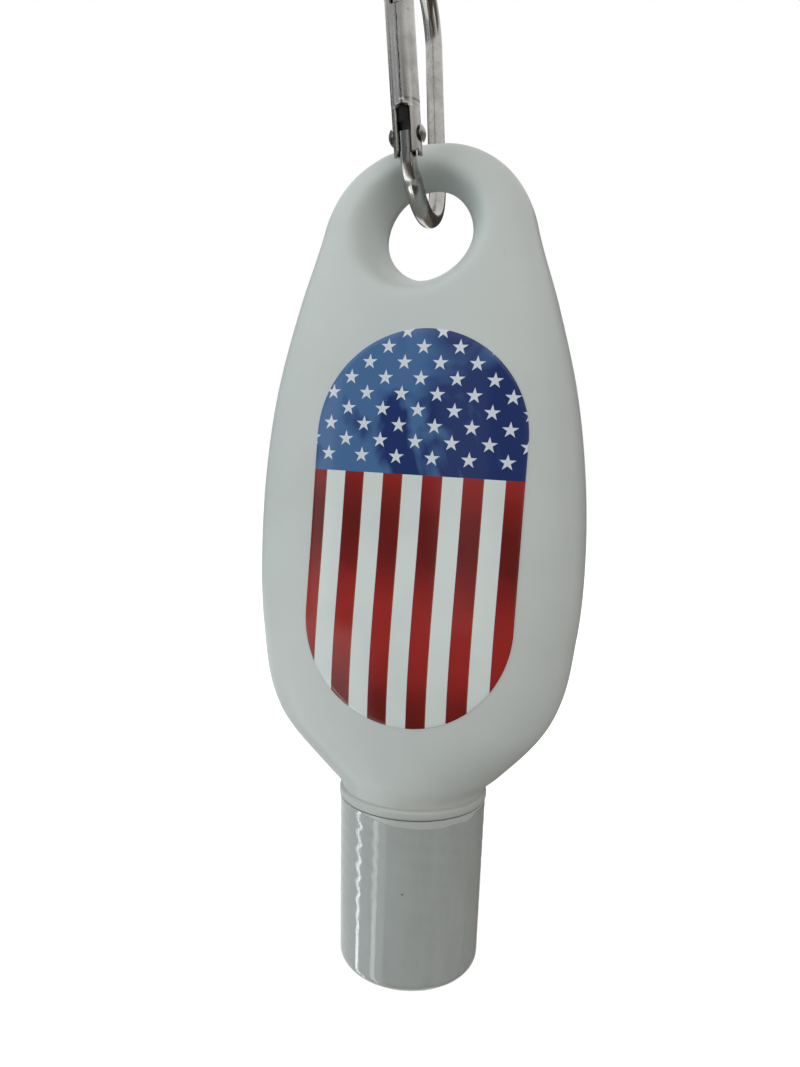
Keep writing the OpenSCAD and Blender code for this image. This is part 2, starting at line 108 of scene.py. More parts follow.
class BottleSizes(bpy.types.PropertyGroup):
    """Sizes of the bottle's visible forms."""

    body_width: length("Body width", "Width across the belly", 53.0 * MM, 0.045, 0.06)
    body_depth: length("Body depth", "Depth from front to back", 28.2 * MM, 0.02, 0.035)
    eye_radius: length("Eye radius", "Radius of the eye at its pinched edge", 7.2 * MM, 0.006, 0.008)
    eye_drop: length("Eye drop", "Distance of the eye's centre below the top", 14.2 * MM, 0.013, 0.016)
    dish_width: length("Dish width", "Width of the dish round the eye", 5.6 * MM, 0.003, 0.009)
    pinch: length("Pinched edge", "Half thickness of the eye's pinched edge", 0.35 * MM, 0.0001, 0.001)
    label_width: length("Label width", "Width of a label", 32.2 * MM, 0.02, 0.036)
    label_height: length("Label height", "Height of a label", 59.5 * MM, 0.04, 0.065)
    film_thickness: length("Film thickness", "Thickness of the shrunk film", 0.15 * MM, 0.00005, 0.0003)
    wire_radius: length("Wire radius", "Radius of the hook's wire", 1.45 * MM, 0.001, 0.002)
    gate_radius: length("Gate radius", "Outer radius of the gate", 2.3 * MM, 0.002, 0.003)
    gate_sheet: length("Gate sheet", "Thickness of the gate's sheet", 0.42 * MM, 0.0002, 0.0006)


class BottleColours(bpy.types.PropertyGroup):
    """Colours of the bottle's materials."""

    plastic: colour("Plastic", "Moulded body", (0.57, 0.60, 0.59))
    cap: colour("Cap", "Screw cap", (0.48, 0.505, 0.50))
    print_white: colour("Print white", "White of the labels", (0.69, 0.74, 0.73))
    print_red: colour("Print red", "Red of the stripes", (0.22, 0.018, 0.016))
    print_blue: colour("Print blue", "Blue behind the stars", (0.016, 0.034, 0.14))
    steel: colour("Steel", "Plated wire and gate", (0.44, 0.43, 0.41))


# Mesh helpers


def add_piece(name, points, faces, body):
    """A mesh from millimetre points, riding on a body and named in the scene."""
    mesh = bpy.data.meshes.new(name)
    mesh.from_pydata(((np.asarray(points) + CAP_END) * MM).tolist(), [], faces)
    mesh.validate()
    mesh.polygons.foreach_set("use_smooth", [True] * len(mesh.polygons))
    mesh.update()
    piece = bpy.data.objects.new(name, mesh)
    bpy.context.scene.collection.objects.link(piece)
    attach(piece, body)
    return piece


def grid_faces(rows, columns, closed=False, first=0, flip=False):
    """Quads of a grid of points stored row by row, closed round its columns if asked."""
    faces = []
    for r in range(rows - 1):
        for c in range(columns if closed else columns - 1):
            d = (c + 1) % columns
            quad = (first + r * columns + c, first + r * columns + d,
                    first + (r + 1) * columns + d, first + (r + 1) * columns + c)
            faces.append(quad[::-1] if flip else quad)
    return faces


WELD_GAP = 2e-6


def weld(piece, sharp_angle=None):
    """Joins points that coincide, turns all faces outwards and marks edges sharper than an angle."""
    work = bmesh.new()
    work.from_mesh(piece.data)
    bmesh.ops.remove_doubles(work, verts=work.verts, dist=WELD_GAP)
    bmesh.ops.recalc_face_normals(work, faces=work.faces)
    if sharp_angle:
        for edge in work.edges:
            if len(edge.link_faces) == 2:
                edge.smooth = edge.calc_face_angle(0) < math.radians(sharp_angle)
    work.to_mesh(piece.data)
    work.free()
    piece.data.update()


def wave(x, seed):
    """A smooth wandering value near -1..1 that repeats over a full turn."""
    draw = np.random.RandomState(seed)
    total = np.zeros_like(np.asarray(x, float))
    for k in range(1, 9):
        total = total + draw.uniform(-1, 1) / k**0.7 * np.sin(k * x + draw.uniform(0, 2 * math.pi))
    return total / 2


# The body's form


def curve(values, t):
    """A smooth curve through evenly spaced values, as in the solids' source."""
    values = np.asarray(values, float)
    last = len(values) - 1
    s = np.clip(t, 0, 1) * last
    i = np.minimum(np.floor(s).astype(int), last - 1)
    f = s - i
    p, q = values[i], values[i + 1]
    o = np.where(i == 0, 2 * p - q, values[np.maximum(i - 1, 0)])
    r = np.where(i == last - 1, 2 * q - p, values[np.minimum(i + 2, last)])
    return p + f / 2 * ((q - o) + f * ((2 * o - 5 * p + 4 * q - r) + f * (3 * (p - q) + r - o)))


def closing(t, part):
    """Falls from 1 to 0 along a quarter ellipse over the last part."""
    return np.sqrt(np.clip(1 - (np.maximum(t - 1 + part, 0) / part) ** 2, 0, 1))


# Radius of the foot on the body's own curve, and where the fillet above the collar starts and how far it goes
FOOT_R = 11.7
FILLET_R = 11.8
FILLET_T = 0.035
# Shares of the height over which the width and the depth close to the top
CLOSE_W = 0.13
CLOSE_D = 0.075
# Power of the cross section, reached at a share of the height
SQUARENESS = 3.1
SQUARE_T = 0.12
# Power of the roll into the eye, and how much narrower the dish is above it
ROLL_POWER = 2.9
DISH_LESS_ABOVE = 1.2


class BodyForm:
    """The moulded body's surface, seen from the front as a depth at each point."""

    def __init__(self, sizes):
        self.width = sizes.body_width / MM
        self.depth = sizes.body_depth / MM
        self.eye_r = sizes.eye_radius / MM
        self.eye_z = TOP_Z - sizes.eye_drop / MM
        self.dish = sizes.dish_width / MM
        self.pinch = sizes.pinch / MM
        self.wide = [2 * FOOT_R / self.width, 0.85, 0.968, 1, 0.979, 0.912, 0.791, 0.646, 0.583]
        self.deep = [2 * FOOT_R / self.depth, 1, 0.95, 0.887, 0.667, 0.333]

    def half_width(self, t):
        """Half width at a share of the height."""
        return self.to_foot(t, lambda t: self.width / 2 * curve(self.wide, t)) * closing(t, CLOSE_W)

    def half_depth(self, t):
        """Half depth at a share of the height."""
        return self.to_foot(t, lambda t: self.depth / 2 * curve(self.deep, t)) * closing(t, CLOSE_D)

    def to_foot(self, t, half):
        """Bends the lowest part of a half size upright, so the body runs into its collar in a fillet."""
        end, step = FILLET_T, 1e-4
        slope = (half(end + step) - half(end)) / step * end
        s = np.clip(t / end, 0, 1)
        bent = (FILLET_R * (1 + 2 * s) * (1 - s) ** 2 + half(end) * s * s * (3 - 2 * s)
                - slope * s * s * (1 - s))
        return np.where(t < end, bent, half(t))

    def power(self, t):
        """Power of the cross section, from a circle at the foot to a flatter face."""
        s = np.minimum(1, t / SQUARE_T)
        return 2 + (SQUARENESS - 2) * s * s * (3 - 2 * s)

    def plain(self, x, z):
        """Depth of the face, as if there were no eye."""
        t = (np.asarray(z) - FOOT_Z) / BODY_H
        n = self.power(t)
        share = np.clip(np.abs(x) / np.maximum(self.half_width(t), 1e-9), 0, 1)
        return self.half_depth(t) * (1 - share**n) ** (1 / n)

    def face(self, x, z):
        """Depth of the face, dished in towards the eye's pinched edge."""
        full = self.plain(x, z)
        across, up = np.asarray(x), np.asarray(z) - self.eye_z
        out = np.hypot(across, up) - self.eye_r
        over = np.clip(up / np.maximum(np.hypot(across, up), 1e-9), 0, 1)
        u = np.clip(out / (self.dish - DISH_LESS_ABOVE * over), 0, 1)
        rise = 1 - (1 - u) ** ROLL_POWER
        edge = np.sqrt(np.clip(1 - (1 - np.clip(out / self.pinch, 0, 1)) ** 2, 0, 1))
        return np.minimum(full, self.pinch * edge) + np.maximum(full - self.pinch, 0) * rise


# Radius and height down from the body's foot: a shallow groove, the rounded collar, the neck and its bore
NECK_PROFILE = [(11.8, FOOT_Z), (11.72, 29.5), (11.85, 29.42), (12.06, 29.36), (12.18, 29.26), (12.22, 29.1),
                (12.23, 28.8), (12.23, 28.45), (12.2, 28.26), (12.12, 28.13), (12.0, 28.08), (11.0, 28.08),
                (9.0, 28.08), (8.8, 27.9), (8.8, 20.0), (8.8, 9.35), (8.72, 9.12), (8.5, 9.0), (7.3, 9.0),
                (7.08, 9.1), (7.0, 9.3), (7.0, 20.0), (7.0, 30.4)]
THREAD_PITCH = 3.175
THREAD_TURNS = 2.0
THREAD_LOW = 11.0
THREAD_ROOT_R = 8.5
THREAD_SECTION = [(8.5, -0.85), (9.4, -0.55), (9.75, -0.3), (9.75, 0.3), (9.4, 0.55), (8.5, 0.85)]
THREAD_STEPS = 96
THREAD_FADE = 10


def thread_ridge(first):
    """The neck's screw thread, a ridge that fades at both ends."""
    last = int(THREAD_TURNS * THREAD_STEPS)
    rings = []
    for k in range(last + 1):
        a = 2 * math.pi * k / THREAD_STEPS
        middle = THREAD_LOW + THREAD_PITCH * k / THREAD_STEPS
        grow = max(0.05, min(1, k / THREAD_FADE, (last - k) / THREAD_FADE))
        for r, z in THREAD_SECTION:
            r = THREAD_ROOT_R + (r - THREAD_ROOT_R) * grow
            rings.append((r * math.cos(a), r * math.sin(a), middle + z * grow))
    n = len(THREAD_SECTION)
    rows = len(rings) // n
    faces = grid_faces(rows, n, closed=True, first=first)
    faces += [tuple(range(first, first + n)), tuple(range(first + (rows - 1) * n, first + rows * n))]
    return np.array(rings), faces


# Counts of the skin's points: round a face, up the lower part, up each side above it, and out from the eye
COLUMNS = 132
LOW_ROWS = 150
SIDE_STEPS = 56
TOP_STEPS = 72
RAY_STEPS = 64
LAND_STEPS = 6
# Height where the level rings end and the rays from the eye start
JOIN_Z = 98.0
BODY_SHARP = 55


def build_body(context):
    """The whole moulded body with its eye, as one skin."""
    form = BodyForm(context.scene.bottle_sizes)
    angles = np.linspace(-math.pi, 0, COLUMNS + 1)
    points, faces = [], []

    def section(z, side):
        """One face's half of a level ring."""
        t = (z - FOOT_Z) / BODY_H
        e = 2 / form.power(t)
        c, s = np.cos(angles), np.sin(angles)
        x = form.half_width(t) * np.sign(c) * np.abs(c) ** e
        y = side * form.half_depth(t) * np.abs(s) ** e
        y[0] = y[-1] = 0.0
        return np.stack([x, y, np.full_like(x, z)], axis=1)

    # Lower part, in level rings from the foot to a line under the eye
    heights = FOOT_Z + (JOIN_Z - FOOT_Z) * np.linspace(0, 1, LOW_ROWS) ** 1.15
    for side in (-1, 1):
        first = sum(len(p) for p in points)
        points.append(np.concatenate([section(z, side) for z in heights]))
        faces += grid_faces(LOW_ROWS, COLUMNS + 1, first=first)

    # Upper part, in rays from the eye to the outline and to the line under the eye
    line = section(JOIN_Z, -1)[:, [0, 2]]
    t_join = (JOIN_Z - FOOT_Z) / BODY_H
    straight = np.linspace(t_join, 1 - CLOSE_W, SIDE_STEPS)[1:]
    round_top = 1 - CLOSE_W + CLOSE_W * np.sin(np.linspace(0, math.pi / 2, TOP_STEPS))[1:]
    t = np.concatenate([straight, round_top])
    right = np.stack([form.half_width(t), FOOT_Z + BODY_H * t], axis=1)
    left = right[:-1][::-1] * (-1, 1)
    ends = np.concatenate([line, right, left])
    centre = np.array([0.0, form.eye_z])
    reach = np.linalg.norm(ends - centre, axis=1)
    towards = (ends - centre) / reach[:, None]
    starts = centre + form.eye_r * towards
    span = reach - form.eye_r
    land = form.pinch * (1 - np.cos(np.linspace(0, math.pi / 2, LAND_STEPS)))
    s = np.linspace(0, 1, RAY_STEPS + 1)[1:]
    rows = [np.full(len(ends), r) for r in land]
    rows += [land[-1] + (span - land[-1]) * (1 - (1 - v) ** 2.4) for v in s]
    for side in (-1, 1):
        first = sum(len(p) for p in points)
        sheet = []
        for k, out in enumerate(rows):
            xz = starts + towards * out[:, None]
            y = form.face(xz[:, 0], xz[:, 1])
            if k == 0:
                y = np.zeros(len(ends))
            elif k == len(rows) - 1:
                xz = ends
                y = np.zeros(len(ends))
                y[:len(line)] = section(JOIN_Z, 1)[:, 1]
            sheet.append(np.stack([xz[:, 0], side * y, xz[:, 1]], axis=1))
        points.append(np.concatenate(sheet))
        faces += grid_faces(len(rows), len(ends), closed=True, first=first)

    # Collar and neck, turned round the body's axis, and the thread on the neck
    first = sum(len(p) for p in points)
    turn = np.linspace(0, 2 * math.pi, 2 * COLUMNS, endpoint=False)
    rings = [np.stack([r * np.cos(turn), r * np.sin(turn), np.full_like(turn, z)], axis=1)
             for r, z in NECK_PROFILE]
    points.append(np.concatenate(rings))
    faces += grid_faces(len(NECK_PROFILE), len(turn), closed=True, first=first)
    first += len(points[-1])
    thread, thread_faces = thread_ridge(first)
    points.append(thread)
    faces += thread_faces
    piece = add_piece("Bottle", np.concatenate(points), faces, "bottle")
    weld(piece, BODY_SHARP)
    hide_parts("bottle_body", "bottle_top", "bottle_neck")
    return piece


# Labels

# Height of the labels' middle, and how far the front one sits to the right and leans
LABEL_Z = 72.6
LABEL_X = 2.3
LABEL_LEAN = math.radians(1.9)
LABEL_UP = 0.14
LABEL_COUNT = 240
LABEL_LOOPS = 44


def label_edge(width, height, count):
    """A stadium's outline, evenly spaced, counter-clockwise from its right side."""
    r = width / 2
    s = height / 2 - r
    total = 2 * math.pi * r + 4 * s
    edge = []
    for d in np.linspace(0, total, count, endpoint=False):
        if d < math.pi * r:
            edge.append((r * math.cos(d / r), s + r * math.sin(d / r)))
        elif d < math.pi * r + 2 * s:
            edge.append((-r, s - (d - math.pi * r)))
        elif d < 2 * math.pi * r + 2 * s:
            a = (d - math.pi * r - 2 * s) / r
            edge.append((-r * math.cos(a), -s - r * math.sin(a)))
        else:
            edge.append((r, -s + (d - 2 * math.pi * r - 2 * s)))
    return np.array(edge)


def build_label(context, name, node, side, place_x, lean):
    """A thin glossy label that follows the body's face, with a soft edge."""
    sizes = context.scene.bottle_sizes
    form = BodyForm(sizes)
    edge = label_edge(sizes.label_width / MM, sizes.label_height / MM, LABEL_COUNT)
    shares = np.concatenate([np.linspace(0, 1, LABEL_LOOPS) ** 0.9 * 0.9965 + 1e-3, [0.9988, 1.0, 1.0]])
    lifts = np.concatenate([np.full(LABEL_LOOPS, LABEL_UP), [0.125, 0.09, 0.0]])
    points = []
    for share, lift in zip(shares, lifts):
        p = edge * share
        x = place_x + p[:, 0] * math.cos(lean) + p[:, 1] * math.sin(lean)
        z = LABEL_Z - p[:, 0] * math.sin(lean) + p[:, 1] * math.cos(lean)
        y = form.plain(x, z) + lift
        points.append(np.stack([-side * x, side * y, z], axis=1))
    points = np.concatenate(points)
    faces = grid_faces(len(shares), LABEL_COUNT, closed=True)
    faces.append(tuple(range(LABEL_COUNT)))
    piece = add_piece(name, points, faces, "bottle")
    weld(piece)
    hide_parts(node)
    return piece


# Film on the cap

# Angle round the cap from its front, towards the right, and drop of the film's edge below the rim
FILM_EDGE = [(-180, 0.5), (-90, 0.15), (-47, 0.0), (-28, 0.55), (-14, 1.0), (-2, 1.1), (10, 1.25),
             (24, 1.2), (30, 1.0), (45, 1.1), (49, 1.0), (56, 0.4), (76, 0.35), (120, 0.8), (180, 0.5)]
CAP_END_R = 11.45
CAP_RIM_R = 12.0
CAP_EDGE = 1.8
FILM_LIP_R = 9.2
FILM_GAP = 0.03
FILM_COUNT = 288
FILM_ROWS = 70
FILM_SHARP = 50
# Bearing from which the film's edge is counted, which is also the camera's
CAMERA_BEARING = 17.8


def film_profile(grow, top):
    """Radius and height along the film, from its lip under the cap to its upper edge."""
    corner = CAP_END_R - CAP_EDGE
    bend = np.linspace(-math.pi / 2, 0, 14)
    r = [FILM_LIP_R, (FILM_LIP_R + corner) / 2] + list(corner + (CAP_EDGE + grow) * np.cos(bend))
    z = [-grow, -grow] + list(CAP_EDGE + (CAP_EDGE + grow) * np.sin(bend))
    share = np.linspace(0, 1, FILM_ROWS)[1:] ** 0.8
    r += list(CAP_END_R + (CAP_RIM_R - CAP_END_R) * share * (top - CAP_EDGE) / (CAP_H - CAP_EDGE) + grow)
    z += list(CAP_EDGE + (top - CAP_EDGE) * share)
    return np.array(r), np.array(z)


def build_film(context):
    """The clear film shrunk over the cap, with a wandering torn edge."""
    thickness = context.scene.bottle_sizes.film_thickness / MM
    turns = np.linspace(0, 2 * math.pi, FILM_COUNT, endpoint=False)
    degrees = (np.degrees(turns) - CAMERA_BEARING + 180) % 360 - 180
    drops = np.interp(degrees, *zip(*FILM_EDGE)) + 0.06 * wave(turns * 3, 5)
    columns = []
    for a, drop in zip(turns, drops):
        top = CAP_H - max(0.02, drop)
        inner_r, inner_z = film_profile(FILM_GAP, top)
        outer_r, outer_z = film_profile(FILM_GAP + thickness, top)
        fade = np.clip((outer_z - 3) / 20, 0, 1)
        ripple = 0.05 * fade * np.sin(2.3 * outer_z + 5 * a) * (0.4 + 0.6 * math.sin(3 * a) ** 2)
        r = np.concatenate([inner_r, (outer_r - 0.06 + ripple.clip(-0.05, 0.05))[::-1]])
        z = np.concatenate([inner_z, outer_z[::-1]])
        columns.append(np.stack([r * math.sin(a), -r * math.cos(a), z], axis=1))
    rows = len(columns[0])
    points = np.stack(columns, axis=1).reshape(-1, 3)
    faces = grid_faces(rows, FILM_COUNT, closed=True)
    last = (rows - 1) * FILM_COUNT
    nexts = [(c + 1) % FILM_COUNT for c in range(FILM_COUNT)]
    faces += [(last + c, last + d, d, c) for c, d in enumerate(nexts)]
    piece = add_piece("Cap_film", points, faces, "cap")
    weld(piece, FILM_SHARP)
    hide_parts("shrink_sleeve")
    return piece


# Hook

# Half the angle between the hook's sides, radius of its lower bend and height where the sides end
SPREAD = math.radians(3.9)
BEND_R = 8.55
SIDE_TOP = 31.5
TANGENT_Z = BEND_R * (1 - math.sin(SPREAD))
TANGENT_Y = BEND_R * math.cos(SPREAD)
SIDE_Y = TANGENT_Y + (SIDE_TOP - TANGENT_Z) * math.tan(SPREAD)
TOP_BEND_R = SIDE_Y / math.cos(SPREAD)
TOP_BEND_Z = SIDE_TOP + TOP_BEND_R * math.sin(SPREAD)
GATE_LOW = 5.9
GATE_TOP = 30.4
GATE_H = GATE_TOP - GATE_LOW
NOSE_LOW = 27.2
TONGUE_TOP = 9.3
TONGUE_LOW = 6.2
TONGUE_BEND = 5.2
WIRE_SIDES = 48
WIRE_SHARP = 40
# Half width, half depth and squareness of the flattened ends
TONGUE = (1.0, 1.6, 5.0)
NOSE = (0.9, 1.3, 5.0)


def hook_to_bottle(points):
    """From the hook's own axes to the bottle's."""
    points = np.asarray(points)
    return HOOK_AT + points[:, :1] * HOOK_X + points[:, 1:2] * (0, 1, 0) + points[:, 2:3] * HOOK_Z


def gate_line(z):
    """Where the gate's axis is, from the hook's middle, at a height."""
    return -(TANGENT_Y + (z - TANGENT_Z) * math.tan(SPREAD))


def build_wire(context):
    """The hook's bent wire, flattened where the gate turns and where it latches."""
    r = context.scene.bottle_sizes.wire_radius / MM
    path, half_x, half_n, power = [], [], [], []

    def add(y, z, flat, shape):
        """One place along the wire, from round to flattened."""
        path.append((y, z))
        half_x.append(r + (shape[0] - r) * flat)
        half_n.append(r + (shape[1] - r) * flat)
        power.append(2 + (shape[2] - 2) * flat)

    for z in np.linspace(TONGUE_TOP, TONGUE_LOW, 18):
        add(gate_line(z), z, 1.0, TONGUE)
    # From the tongue round the lower bend, with a shoulder where the wire turns round
    low = math.acos(1 - TONGUE_BEND / BEND_R)
    for a in np.linspace(-low, math.pi / 2 - SPREAD, 90):
        back = a + low
        flat = 1 - min(1, max(0, (back * BEND_R - 1.3) / 1.3))
        flat = flat * flat * (3 - 2 * flat)
        slip = max(0.0, 1 - back / 0.35) ** 2
        y = BEND_R * math.sin(a)
        z = BEND_R * (1 - math.cos(a))
        add(y + slip * (gate_line(z) - y), z, flat, TONGUE)
    for z in np.linspace(TANGENT_Z, SIDE_TOP, 40)[1:]:
        add(TANGENT_Y + (z - TANGENT_Z) * math.tan(SPREAD), z, 0, TONGUE)
    for a in np.linspace(math.pi / 2 - SPREAD, 1.5 * math.pi + SPREAD, 120)[1:]:
        add(TOP_BEND_R * math.sin(a), TOP_BEND_Z - TOP_BEND_R * math.cos(a), 0, NOSE)
    for z in np.linspace(SIDE_TOP, NOSE_LOW, 26)[1:]:
        flat = min(1, max(0, (31.1 - z) / 0.5))
        add(gate_line(z), z, flat * flat * (3 - 2 * flat), NOSE)

    path = np.array(path)
    steps = np.gradient(path, axis=0)
    steps /= np.linalg.norm(steps, axis=1)[:, None]
    b = np.linspace(0, 2 * math.pi, WIRE_SIDES, endpoint=False)
    rings = []
    for k, ((y, z), (ty, tz)) in enumerate(zip(path, steps)):
        e = 2 / power[k]
        u = half_x[k] * np.sign(np.cos(b)) * np.abs(np.cos(b)) ** e
        v = half_n[k] * np.sign(np.sin(b)) * np.abs(np.sin(b)) ** e
        rings.append(np.stack([u, y - v * tz, z + v * ty], axis=1))
    # Softly closed ends
    first, last = rings[0], rings[-1]
    ends = []
    for ring, (ty, tz), sign in ((first, steps[0], -1), (last, steps[-1], 1)):
        middle = ring.mean(axis=0)
        cap = []
        for share, out in ((0.93, 0.12), (0.82, 0.17), (0.4, 0.19), (0.01, 0.2)):
            cap.append(middle + (ring - middle) * share + sign * out * np.array([0, ty, tz]))
        ends.append(cap)
    rings = ends[0][::-1] + rings + ends[1]
    points = hook_to_bottle(np.concatenate(rings))
    faces = grid_faces(len(rings), WIRE_SIDES, closed=True)
    faces.append(tuple(range(WIRE_SIDES)))
    faces.append(tuple(range(len(points) - WIRE_SIDES, len(points))))
    piece = add_piece("Hook_wire", points, faces, "hook")
    weld(piece, WIRE_SHARP)
    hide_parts("hook_frame")
    return piece


GATE_ROWS = 150
GATE_COLUMNS = 30
# Heights up the gate where its outer and inner slots end and where the nose's slot starts
OUTER_SLOT_TOP = 7.0
INNER_SLOT_TOP = 4.8
NOSE_SLOT_LOW = 20.85
HALF_SLOT = 1.18
INNER_SLOT_WIDER = 1.24
# How far the sheet is set in from the gate's radius, how proud its slot edges and upper rim stand,
# and how wide each of those is
GATE_INSET = 0.15
SLOT_LIP, SLOT_LIP_W = 0.14, 0.35
RIM_FLARE, RIM_FLARE_H = 0.12, 0.5
# Height of the ragged lower edge
RAGGED_H = 0.9


def build_gate(context):
    """The gate, rolled from sheet, with its seam, its slots and its ears."""
    sizes = context.scene.bottle_sizes
    r = sizes.gate_radius / MM
    sheet = sizes.gate_sheet / MM
    heights = np.linspace(0, GATE_H, GATE_ROWS)
    points, faces = [], []

    def half_width(h, top, reach=0.25):
        """Half width of a slot at a height, with softly cornered ends."""
        over = (h - (top - reach)) / reach
        return HALF_SLOT * math.sqrt(max(0, 1 - max(0, over) ** 2)) if h < top else 0

    for side in (-1, 1):
        first = len(points)
        for k, h in enumerate(heights):
            seam = 0.05 + 0.05 * side * math.sin(1.1 * h) + 0.03 * math.sin(3.7 * h + side)
            outer = max(half_width(h, OUTER_SLOT_TOP), half_width(GATE_H - h, GATE_H - NOSE_SLOT_LOW, 0.5),
                        max(0.03, seam) if OUTER_SLOT_TOP - 1 < h else 0)
            inner = INNER_SLOT_WIDER * half_width(h, INNER_SLOT_TOP)
            a0 = math.asin(min(0.9, outer / r))
            a1 = math.pi - math.asin(min(0.9, inner / r))
            flare = RIM_FLARE * math.exp(-((GATE_H - h) / RIM_FLARE_H) ** 2)
            for c in range(GATE_COLUMNS + 1):
                share = c / GATE_COLUMNS
                share = share * share * (3 - 2 * share) * 0.5 + share * 0.5
                a = a0 + (a1 - a0) * share
                by_slot = h < OUTER_SLOT_TOP + 0.6
                lip = SLOT_LIP * math.exp(-((a - a0) * r / SLOT_LIP_W) ** 2) if by_slot else 0.03
                radius = r - GATE_INSET + lip + flare
                up = h
                if h < RAGGED_H:
                    ragged = 0.36 + 0.22 * math.sin(5.3 * a + 2 * side) + 0.12 * math.sin(13 * a)
                    up = h + (RAGGED_H - h) / RAGGED_H * ragged
                points.append((side * radius * math.sin(a), -radius * math.cos(a), up))
        faces += grid_faces(GATE_ROWS, GATE_COLUMNS + 1, first=first, flip=side > 0)
    points = np.array(points)
    # From the tube's own axis to the hook's axes
    y = gate_line(GATE_LOW) + points[:, 1] * math.cos(SPREAD) - points[:, 2] * math.sin(SPREAD)
    z = GATE_LOW + points[:, 1] * math.sin(SPREAD) + points[:, 2] * math.cos(SPREAD)
    points = hook_to_bottle(np.stack([points[:, 0], y, z], axis=1))
    piece = add_piece("Gate_tube", points, faces, "gate")
    weld(piece)
    thick = piece.modifiers.new("Sheet", "SOLIDIFY")
    thick.thickness = sheet * MM
    thick.offset = -1
    # The sheet's inner side takes the second material, coloured near black as painted shade
    thick.material_offset = 1
    soft = piece.modifiers.new("Soft edges", "BEVEL")
    soft.width = 0.08 * MM
    soft.segments = 2
    soft.limit_method = "ANGLE"
    soft.angle_limit = math.radians(40)
    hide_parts("gate_tube")
    return piece


# Materials


class Finish:
    """Short calls for wiring one material's nodes."""

    def __init__(self, name):
        self.material = bpy.data.materials.new(name)
        self.material.use_nodes = True
        self.tree = self.material.node_tree
        self.shader = self.tree.nodes["Principled BSDF"]
        self.place = self.node("ShaderNodeTexCoord").outputs["Object"]

    def node(self, kind, **settings):
        """A new node with its settings."""
        made = self.tree.nodes.new(kind)
        for key, value in settings.items():
            setattr(made, key, value)
        return made

    def put(self, socket, value):
        """Links another node's output to a socket, or sets its constant."""
        if isinstance(value, bpy.types.NodeSocket):
            self.tree.links.new(value, socket)
        elif hasattr(socket.default_value, "__len__") and len(socket.default_value) == 4:
            socket.default_value = (*value[:3], 1.0)
        else:
            socket.default_value = value

    def set(self, **values):
        """Sets or links the shader's own sockets by name."""
        for key, value in values.items():
            self.put(self.shader.inputs[key.replace("_", " ")], value)

    def math(self, operation, a, b=0.0, c=0.0):
        """One sum of numbers or outputs."""
        made = self.node("ShaderNodeMath", operation=operation)
        for socket, value in zip(made.inputs, (a, b, c)):
            self.put(socket, value)
        return made.outputs[0]

    def mix(self, factor, a, b):
        """A colour between two colours."""
        made = self.node("ShaderNodeMix", data_type="RGBA")
        self.put(made.inputs["Factor"], factor)
        self.put(made.inputs[6], a)
        self.put(made.inputs[7], b)
        return made.outputs[2]

    def stretched(self, scale):
        """The piece's own place, scaled along each axis."""
        made = self.node("ShaderNodeMapping")
        self.put(made.inputs["Vector"], self.place)
        made.inputs["Scale"].default_value = scale
        return made.outputs["Vector"]

    def noise(self, scale, detail=3.0, rough=0.55, stretch=(1, 1, 1), warp=0.0):
        """Cloudy noise, about 0.3 to 0.7."""
        made = self.node("ShaderNodeTexNoise")
        self.put(made.inputs["Vector"], self.stretched(stretch))
        made.inputs["Scale"].default_value = scale
        made.inputs["Detail"].default_value = detail
        made.inputs["Roughness"].default_value = rough
        made.inputs["Distortion"].default_value = warp
        return made.outputs[0]

    def between(self, value, low, high, to_low=0.0, to_high=1.0):
        """A value taken from one range to another, and held at its ends."""
        made = self.node("ShaderNodeMapRange", clamp=True)
        for key, number in (("Value", value), ("From Min", low), ("From Max", high),
                            ("To Min", to_low), ("To Max", to_high)):
            self.put(made.inputs[key], number)
        return made.outputs[0]

    def spots(self, places):
        """1 in small ragged spots, each given by its place and radius in millimetres."""
        ragged = self.noise(1500, 3, 0.6)
        total = 0.0
        for x, y, z, radius in places:
            away = self.node("ShaderNodeVectorMath", operation="DISTANCE")
            self.put(away.inputs[0], self.place)
            away.inputs[1].default_value = ((CAP_END + (x, y, z)) * MM).tolist()
            near = self.math("MULTIPLY_ADD", away.outputs["Value"], 1000 / radius, ragged)
            total = self.math("MAXIMUM", total, self.between(near, 1.45, 1.1))
        return total

    def bump(self, height, distance_mm, strength=1.0):
        """Relief on the shader's normal."""
        made = self.node("ShaderNodeBump")
        made.inputs["Strength"].default_value = strength
        made.inputs["Distance"].default_value = distance_mm * MM
        self.put(made.inputs["Height"], height)
        self.put(self.shader.inputs["Normal"], made.outputs["Normal"])

    def surface(self, output):
        """Puts another shader in the place of the material's own."""
        self.tree.nodes.remove(self.shader)
        self.put(self.tree.nodes["Material Output"].inputs["Surface"], output)


def darker(colour, share):
    """A colour times a share."""
    return tuple(c * share for c in colour[:3])


# Small marks on the body and on the cap's film: place and radius
BODY_SPECKS = [(23.3, -9.7, 70.2, 0.16), (-9.9, -13.7, 40.7, 0.14), (21.5, -8.35, 43.2, 0.13)]
BODY_SCRATCH = ([(-3.3 + 0.1 * k, -11.4, 106.75, 0.085) for k in range(11)]
                + [(-2.25, -11.4, 106.65 - 0.1 * k, 0.085) for k in range(6)])
FILM_SMUDGES = [(1.0, -12, 16.2, 0.22), (2.2, -11.8, 16.3, 0.26), (-0.1, -12, 14.2, 0.24),
                (0.4, -12, 14.4, 0.16), (0.7, -12, 11, 0.2), (0.55, -12, 10.5, 0.14), (11.4, -3.8, 17.5, 0.2)]
SPECK_COLOUR = (0.09, 0.07, 0.06)
SCRATCH_COLOUR = (0.16, 0.16, 0.18)
SMUDGE_COLOUR = (0.10, 0.10, 0.12)
# Painted shade on the body towards its collar: its colour, the height it fades in over, and its top
COLLAR_SHADE_COLOUR = (0.36, 0.355, 0.33)
COLLAR_SHADE_H = 4.5
COLLAR_SHADE_TOP = FOOT_Z + 3.2


